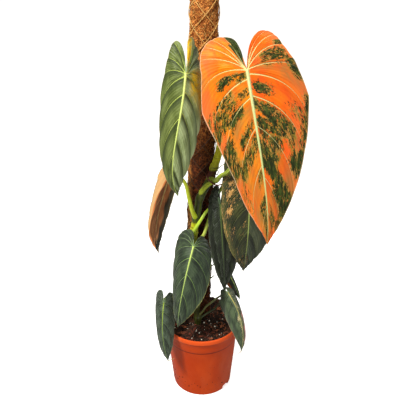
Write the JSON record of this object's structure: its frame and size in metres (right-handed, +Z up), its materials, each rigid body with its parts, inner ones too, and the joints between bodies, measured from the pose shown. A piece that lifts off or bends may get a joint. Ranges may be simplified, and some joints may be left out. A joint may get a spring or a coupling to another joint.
{
  "type": "potted variegated philodendron melanochrysum",
  "caption": "Climbing aroid with long heart-shaped variegated leaves on a netted coir pole, rooted in a round tapered nursery pot.",
  "frame": {"origin": "centre of the pot's underside, on the surface the pot stands on", "axes": "+Z up; the plant faces -Y; +X to the plant's right as the viewer sees it"},
  "size_m": [0.2281, 0.1756, 0.69],
  "materials": {
    "pot": "thin moulded plastic, satin",
    "soil": "moist bark and peat mix, rough",
    "stake": "plain turned stick",
    "coir": "matted coconut fibre, rough",
    "net": "thin twisted strand",
    "stem": "smooth green, slightly waxy",
    "petiole": "smooth light green, slightly waxy",
    "leaf_orange": "orange and cream leaf with dark green patches, velvety",
    "leaf_sage": "grey-green leaf with pale veins, velvety",
    "leaf_tan": "tan and maroon leaf underside, satin",
    "leaf_speckled": "dark green leaf with peach speckles, velvety",
    "leaf_dark": "very dark green leaf, satin",
    "leaf_green": "dark green leaf with yellow-green veins, velvety"
  },
  "bodies": {
    "root": {"pot": "pot", "soil": "soil", "pole_stake": "stake", "pole_coir": "coir", "pole_net": "net", "stem": "stem", "leaf_1_petiole": "petiole", "leaf_1_blade": "leaf_orange", "leaf_2_petiole": "petiole", "leaf_2_blade": "leaf_sage", "leaf_3_petiole": "petiole", "leaf_3_blade": "leaf_tan", "leaf_4_petiole": "petiole", "leaf_4_blade": "leaf_speckled", "leaf_5_petiole": "petiole", "leaf_5_blade": "leaf_dark", "leaf_6_petiole": "petiole", "leaf_6_blade": "leaf_green", "leaf_7_petiole": "petiole", "leaf_7_blade": "leaf_green", "leaf_8_petiole": "petiole", "leaf_8_blade": "leaf_green", "leaf_9_petiole": "petiole", "leaf_9_blade": "leaf_green"}
  },
  "joints": []
}
